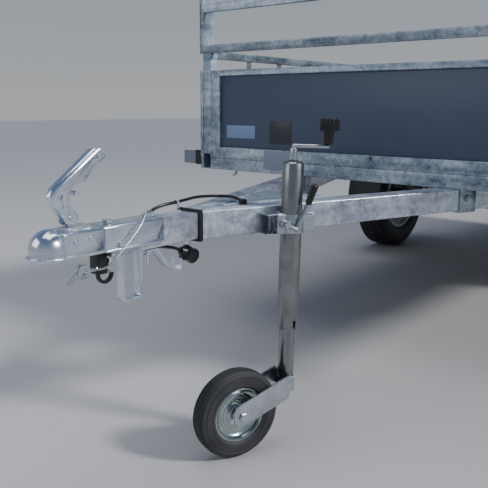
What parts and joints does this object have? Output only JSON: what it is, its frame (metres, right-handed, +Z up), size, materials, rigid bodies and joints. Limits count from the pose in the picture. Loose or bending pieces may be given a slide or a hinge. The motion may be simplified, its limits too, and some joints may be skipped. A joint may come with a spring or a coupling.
{
  "type": "utility trailer",
  "caption": "Single-axle utility trailer: boarded flat bed with open rails, drop-down tailgate, V drawbar with ball coupling and a telescopic jockey wheel.",
  "frame": {"origin": "on the ground under the middle of the whole trailer's length and width", "axes": "+X forwards to the coupling, +Y to the trailer's left, +Z up"},
  "size_m": [4.1515, 1.722, 1.254],
  "materials": {
    "galvanised": "dull mottled hot-dip zinc",
    "zinc": "bright zinc plating",
    "panel": "smooth slate grey-blue coat",
    "floor": "dark film-faced plywood",
    "tyre": "matt black rubber",
    "rim": "silver paint",
    "dark_steel": "dark paint",
    "black_plastic": "grained black",
    "white_lens": "clear moulding over a white body",
    "red_lens": "red moulding",
    "soft_rubber": "matt",
    "cable": "satin sheath",
    "wire": "stranded steel in a clear sheath"
  },
  "bodies": {
    "chassis": {"drawbar_arm_left": "galvanised", "drawbar_arm_right": "galvanised", "arm_brackets": "galvanised", "runners": "galvanised", "under_beams": "galvanised", "side_frames": "galvanised", "side_panels": "panel", "side_rails": "galvanised", "leaf_springs": "dark_steel", "spring_hangers": "galvanised", "spring_clamps": "zinc", "mudguards": "black_plastic", "guard_stays": "galvanised", "marker_bases": "black_plastic", "marker_lenses": "white_lens", "nose_tube": "galvanised", "nose_band": "black_plastic", "nose_gusset": "galvanised", "coupling_head": "zinc", "coupling_studs": "zinc", "breakaway_anchor": "zinc", "stirrup": "zinc", "plug_holder": "zinc", "cable_hook": "zinc", "cross_rails": "galvanised", "floor_board": "floor", "corner_posts": "galvanised", "front_frame": "galvanised", "front_panel": "panel", "front_rack": "galvanised", "gate_hinges": "galvanised", "lamp_bar": "galvanised", "rear_lamps": "red_lens", "axle_beam": "galvanised", "jockey_clamp": "zinc", "jockey_band": "zinc", "clamp_lever": "zinc", "clamp_grip": "black_plastic", "lead": "cable", "lead_gland": "soft_rubber", "lead_clip": "zinc", "plug": "black_plastic", "breakaway_wire": "wire"},
    "tailgate": {"gate_frame": "galvanised", "gate_panel": "panel", "gate_latches": "zinc"},
    "coupling_lever": {"coupling_lever": "zinc"},
    "wheel_left": {"tyre_left": "tyre", "rim_left": "rim", "hub_left": "dark_steel"},
    "wheel_right": {"tyre_right": "tyre", "rim_right": "rim", "hub_right": "dark_steel"},
    "jockey_tube": {"jockey_outer": "zinc", "jockey_crank": "zinc", "jockey_knob": "black_plastic"},
    "jockey_slider": {"jockey_nut": "zinc"},
    "jockey_fork": {"jockey_inner": "zinc"},
    "jockey_wheel": {"jockey_tyre": "tyre", "jockey_rim": "zinc"}
  },
  "joints": [
    {"name": "tailgate_drop", "type": "hinge", "parent": "chassis", "child": "tailgate", "pos_m": [-2.0667, 0, 0.609], "axis": [0, -1, 0], "range_deg": [0, 180]},
    {"name": "coupling_lever_turn", "type": "hinge", "parent": "chassis", "child": "coupling_lever", "pos_m": [1.9943, 0, 0.583], "axis": [0, -1, 0], "range_deg": [0, 50]},
    {"name": "wheel_left_spin", "type": "hinge", "parent": "chassis", "child": "wheel_left", "pos_m": [-0.7568, 0.7695, 0.289], "axis": [0, 1, 0], "continuous": true},
    {"name": "wheel_right_spin", "type": "hinge", "parent": "chassis", "child": "wheel_right", "pos_m": [-0.7568, -0.7695, 0.289], "axis": [0, 1, 0], "continuous": true},
    {"name": "jockey_tube_slide", "type": "slide", "parent": "chassis", "child": "jockey_tube", "axis": [-0.0198, 0.0069, 0.9998], "range_m": [0, 0.19]},
    {"name": "jockey_leg_slide", "type": "slide", "parent": "jockey_tube", "child": "jockey_slider", "axis": [-0.0198, 0.0069, 0.9998], "range_m": [-0.1, 0.07]},
    {"name": "jockey_swivel", "type": "hinge", "parent": "jockey_slider", "child": "jockey_fork", "pos_m": [1.5004, 0.1286, 0.3], "axis": [-0.0198, 0.0069, 0.9998], "continuous": true},
    {"name": "jockey_wheel_spin", "type": "hinge", "parent": "jockey_fork", "child": "jockey_wheel", "pos_m": [1.6309, 0.0834, 0.102], "axis": [0.327, 0.945, 0], "continuous": true}
  ]
}
